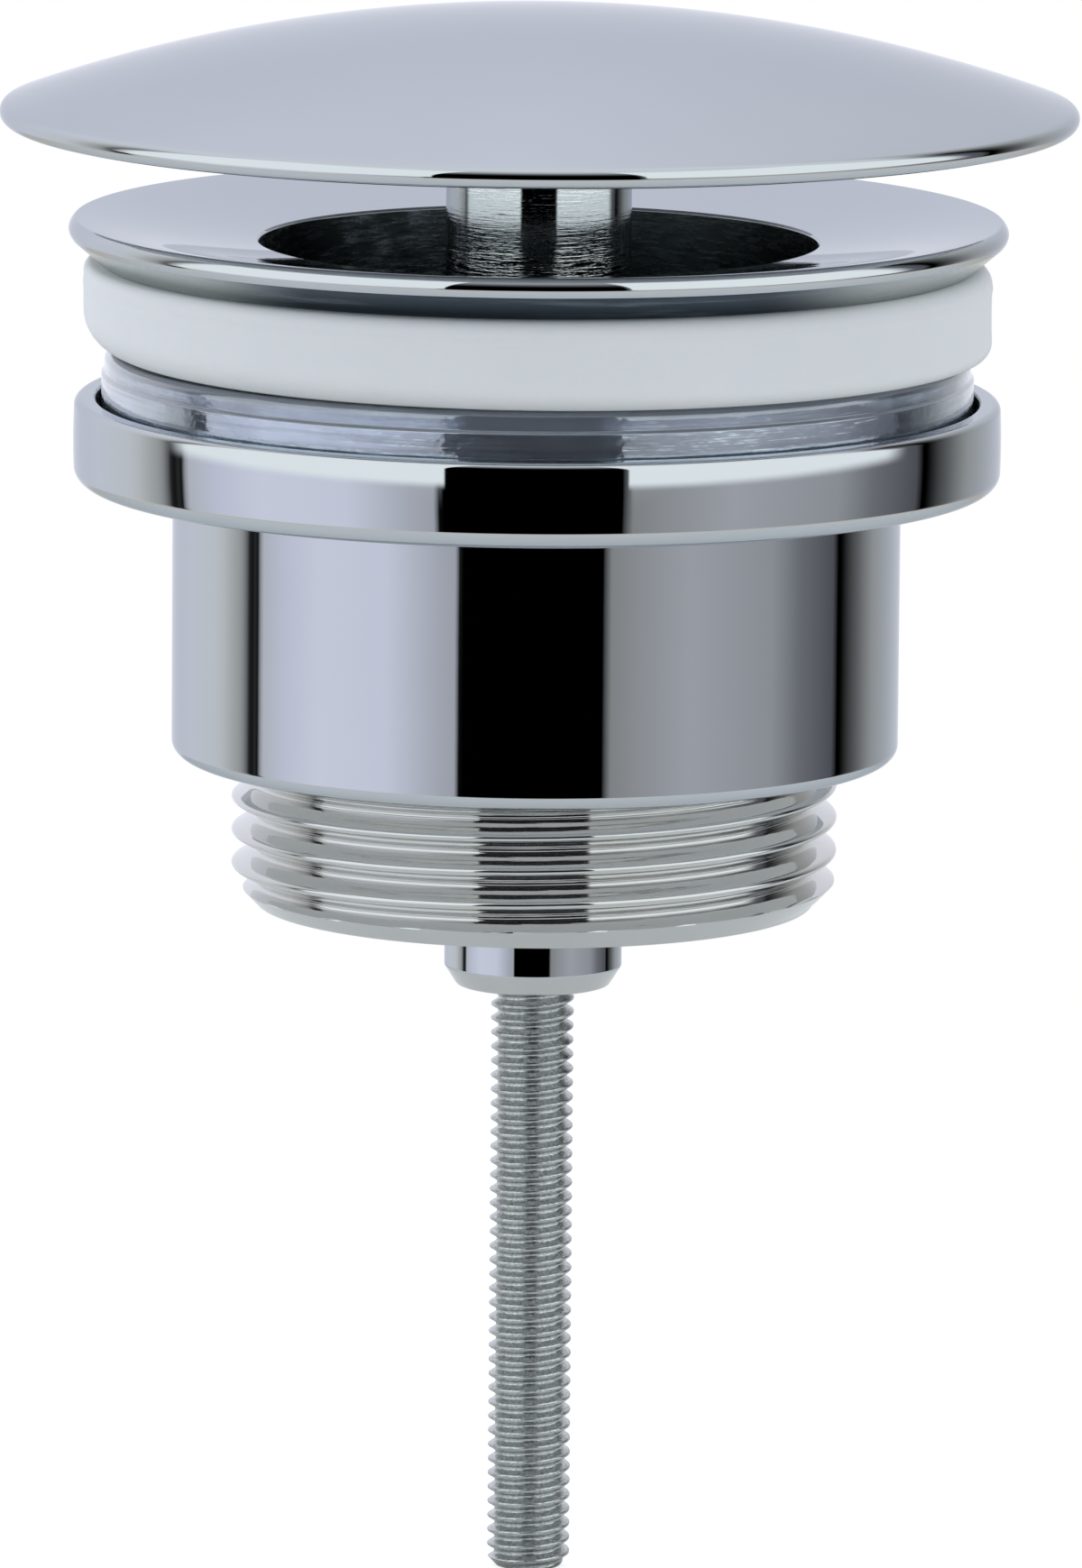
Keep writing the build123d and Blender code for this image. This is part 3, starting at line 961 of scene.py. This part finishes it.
def buildWasteBody():
    cupRadius, _, cupTop = turnedSize("waste_body")
    recessRadius, recessRound = wasteBody["recessRadius"], wasteBody["recessRound"]
    barrelRadius, crest = wasteBody["barrelRadius"], tailThread["crest"]
    boreRadius, tailBore = wasteBody["boreRadius"], wasteBody["tailBore"]
    outletEdge, outletRound = wasteBody["outletEdge"], wasteBody["outletRound"]
    recess = cupTop - wasteBody["recessDepth"]
    cupBottom = cupTop - wasteBody["cupHeight"]
    barrelBottom = cupBottom - wasteBody["barrelHeight"]
    outlet = barrelBottom - wasteBody["tailLength"]
    funnel = barrelBottom + wasteBody["floor"]
    cupEnd = cupRadius - wasteBody["cupCrown"]
    bm = turnedOutline([
        (recessRadius, cupTop, recessRound),
        (cupEnd, cupTop, wasteBody["cupTopRound"]),
        (cupEnd, cupBottom, wasteBody["cupBottomRound"]),
        (barrelRadius, cupBottom, wasteBody["cupRoot"]),
        (barrelRadius, barrelBottom, wasteBody["barrelRound"]),
        (crest, barrelBottom, 0),
        (crest, outlet, 0),
        (tailBore + outletEdge, outlet, outletRound),
        (tailBore, outlet + outletEdge, outletRound),
        (tailBore, funnel, wasteBody["floorRound"]),
        (boreRadius, funnel + boreRadius - tailBore, wasteBody["floorRound"]),
        (boreRadius, recess, recessRound),
        (recessRadius, recess, recessRound),
    ], arcSegments=12)
    bmesh.ops.subdivide_edges(bm, edges=longWall(bm, crest), cuts=tailThread["rows"])
    bmesh.ops.subdivide_edges(bm, edges=longWall(bm, cupEnd), cuts=wasteBody["crownRows"])
    middle, half = (cupTop + cupBottom) / 2, wasteBody["cupHeight"] / 2
    for vert in bm.verts:
        if vert.co.x > (cupEnd - wasteBody["cupBottomRound"]) * mm:
            level = (vert.co.z / mm - middle) / half
            vert.co.x += wasteBody["cupCrown"] * (1 - level ** 2) * mm
    spinRound(bm, steps=256)
    cutThread(bm, outlet, barrelBottom)
    bm.normal_update()
    for face in bm.faces:
        middle = face.calc_center_median()
        away = math.hypot(middle.x, middle.y)
        outward = face.normal.x * middle.x + face.normal.y * middle.y
        # inward faces take the bore finish, painted shade
        if outward < -wasteBody["innerLean"] * away:
            face.material_index = 1
        elif middle.z < (barrelBottom - 2 * near) * mm:
            face.material_index = 2
    armsBottom = outlet + spider["setback"]
    hubTop = armsBottom + spider["height"] + spider["hubRise"]
    addPart(bm, buildHub(outlet - spider["hubDrop"], hubTop))
    addArms(bm, spider, spider["hubRadius"], tailBore, armsBottom)
    finishPiece("wasteBody", bm, "lower_body", "waste_body",
                [chromeFinish, boreShadeFinish, threadFinish])


buildWasteBody()
print("pieces built")


# Studio: a light tent with a dark opening at the front, where the picture is taken from.
# Azimuth is 0 towards the front and grows to the right; elevation is up from level.

tentWalls = [
    # what starts there, degrees of azimuth, brightness, share of blue
    ("left back cloth", -180, 0.905, 1.10),
    ("left back cloth", -140, 0.91, 1.08),
    ("left back cloth", -122, 0.83, 1.03),
    ("left fold", -117, 0.75, 1.00),
    ("left fold", -107.5, 0.48, 0.99),
    ("left fold", -105, 0.30, 1.00),
    ("left stand", -102.5, 0.01, 1.00),
    ("left stand", -99.9, 0.01, 1.00),
    ("softbox edge", -99.4, 0.20, 1.05),
    ("softbox edge", -98.8, 0.01, 1.05),
    ("softbox edge", -97.5, 0.01, 1.05),
    ("softbox", -96.8, 0.68, 1.06),
    ("softbox", -86, 0.81, 1.17),
    ("softbox", -72, 0.92, 1.13),
    ("softbox", -48, 0.88, 1.15),
    ("softbox", -31, 0.60, 1.12),
    ("softbox", -24.6, 0.53, 1.08),
    ("front opening", -23.9, 0.0, 1.00),
    ("front opening", 22.1, 0.0, 1.00),
    ("right sheet", 22.9, 0.34, 1.00),
    ("right sheet", 32, 0.42, 1.03),
    ("right sheet", 50, 0.53, 1.06),
    ("right sheet", 80, 0.42, 1.06),
    ("right sheet", 92, 0.225, 1.10),
    ("right sheet", 108.6, 0.115, 1.12),
    ("right stand", 110.6, 0.0, 1.00),
    ("right stand", 113.2, 0.0, 1.00),
    ("right fold", 116, 0.035, 1.00),
    ("right fold", 123, 0.17, 1.00),
    ("right back cloth", 134, 0.46, 0.99),
    ("right back cloth", 157, 0.79, 1.06),
    ("right back cloth", 180, 0.905, 1.10),
]
tent = {
    "red": 0.975,                       # against green, all round
    "matt": (1.10, 1.08, 1.175, 1),     # what matt surfaces get of the tent
    "glow": (1.12, 1.19, 1.19, 1),      # brighter upper half of both front sheets
    "glowStart": (-6.2, -4.8),          # elevations where it starts and is full
    "glowFades": (56, 74),
    "glowAcross": (22.2, 22.9, 95, 105),    # azimuths where it starts, is full, fades and ends
    "overhead": (0.88, 0.915, 0.955, 1),
    "overheadAim": 60,                  # elevation, towards the front
    "overheadEdge": (72, 55),           # degrees from its aim where it starts and is full
    "openingEdge": (23.6, 22.8),
    "openingFades": (24, 80),           # elevations between which cloth covers it
    "table": (0.745, 0.73, 0.675, 1),
    "tableStart": (-14, -18),
}


def wallRamp(tree, azimuth):
    # the walls' colours, once round
    share = calculate(tree, "ADD", product(tree, azimuth, 1 / 360), 0.5)
    ramp = put(tree, "ShaderNodeValToRGB", {0: share})
    stops = ramp.color_ramp.elements
    while len(stops) > 1:
        stops.remove(stops[-1])
    for number, (_, angle, level, blue) in enumerate(tentWalls):
        place = (angle + 180) / 360
        stop = stops.new(place) if number else stops[0]
        stop.position = place
        stop.color = (level * tent["red"], level, level * blue, 1)
    return ramp.outputs["Color"]


def falling(tree, value, limits):
    low, high = limits
    return smoothRise(tree, value, high, low)


def buildTent():
    world = bpy.data.worlds.new("tent")
    bpy.context.scene.world = world
    world.use_nodes = True
    tree = world.node_tree
    tree.nodes.clear()
    ray = put(tree, "ShaderNodeTexCoord").outputs["Generated"]
    right, back, up = put(tree, "ShaderNodeSeparateXYZ", {0: ray}).outputs[:3]
    degrees = 180 / math.pi
    front = product(tree, back, -1.0)
    azimuth = product(tree, calculate(tree, "ARCTAN2", right, front), degrees)
    elevation = product(tree, calculate(tree, "ARCSINE", up), degrees)
    aside = calculate(tree, "ABSOLUTE", azimuth)
    start, full, fade, end = tent["glowAcross"]
    glow = product(tree, smoothRise(tree, elevation, *tent["glowStart"]),
                   falling(tree, elevation, tent["glowFades"]),
                   smoothRise(tree, aside, start, full), falling(tree, aside, (fade, end)))
    colour = blendColours(tree, glow, wallRamp(tree, azimuth), tent["glow"])
    aimed = math.radians(tent["overheadAim"])
    aim = put(tree, "ShaderNodeVectorMath", {0: ray, 1: (0, -math.cos(aimed), math.sin(aimed))},
              operation="DOT_PRODUCT").outputs["Value"]
    overhead = smoothRise(tree, aim, *(math.cos(math.radians(a)) for a in tent["overheadEdge"]))
    opening = product(tree, smoothRise(tree, aside, *tent["openingEdge"]),
                      falling(tree, elevation, tent["openingFades"]))
    lit = product(tree, overhead, calculate(tree, "SUBTRACT", 1.0, opening),
                  calculate(tree, "SUBTRACT", 1.0, glow))
    colour = blendColours(tree, lit, colour, tent["overhead"])
    table = smoothRise(tree, elevation, *tent["tableStart"])
    colour = blendColours(tree, table, colour, tent["table"])
    # the camera sees white, shiny surfaces see the tent, and matt ones a brighter tent
    path = put(tree, "ShaderNodeLightPath").outputs
    shiny = calculate(tree, "MAXIMUM", path["Is Glossy Ray"], path["Is Transmission Ray"])
    matt = put(tree, "ShaderNodeMix", {0: 1.0, 6: colour, 7: tent["matt"]}, data_type="RGBA",
               blend_type="MULTIPLY").outputs[2]
    colour = blendColours(tree, shiny, matt, colour)
    colour = blendColours(tree, path["Is Camera Ray"], colour, (1, 1, 1, 1))
    background = put(tree, "ShaderNodeBackground", {"Color": colour, "Strength": 1.0})
    output = put(tree, "ShaderNodeOutputWorld")
    tree.links.new(background.outputs[0], output.inputs["Surface"])


buildTent()


floor = {"radius": 0.21, "colour": (0.76, 0.785, 0.73, 1), "roughness": 0.9, "glow": 0.6}


def buildFloor():
    # a pale disc at the level of the rod's end, brighter for the camera only
    bm = bmesh.new()
    bmesh.ops.create_circle(bm, cap_ends=True, segments=128, radius=floor["radius"])
    bmesh.ops.translate(bm, verts=bm.verts, vec=(0, 0, cadLow.z))
    material, tree, shader = newMaterial("paleFloor", {
        "Base Color": floor["colour"], "Roughness": floor["roughness"],
        "Emission Color": (1, 1, 1, 1)})
    seen = put(tree, "ShaderNodeLightPath").outputs["Is Camera Ray"]
    tree.links.new(product(tree, seen, floor["glow"]), shader.inputs["Emission Strength"])
    makeObject("floor", bm, [material])


buildFloor()


# Camera: 1 m in front, a little above, tilted down, as in the photograph

shot = {
    "place": (0.00046, -1.0, 0.13658), "down": 9.456, "roll": 0.47, "lens": 490.7,
    "sensor": 36, "clipStart": 0.05,
}


def buildCamera():
    data = bpy.data.cameras.new("camera")
    data.lens = shot["lens"]
    data.sensor_width = shot["sensor"]
    data.sensor_fit = "HORIZONTAL"
    data.clip_start = shot["clipStart"]
    camera = bpy.data.objects.new("camera", data)
    bpy.context.scene.collection.objects.link(camera)
    camera.matrix_world = (Matrix.Translation(shot["place"])
                           @ Matrix.Rotation(math.radians(90 - shot["down"]), 4, "X")
                           @ Matrix.Rotation(math.radians(shot["roll"]), 4, "Z"))
    bpy.context.scene.camera = camera


buildCamera()
bpy.context.scene.view_settings.view_transform = "Standard"
print("studio and camera ready")
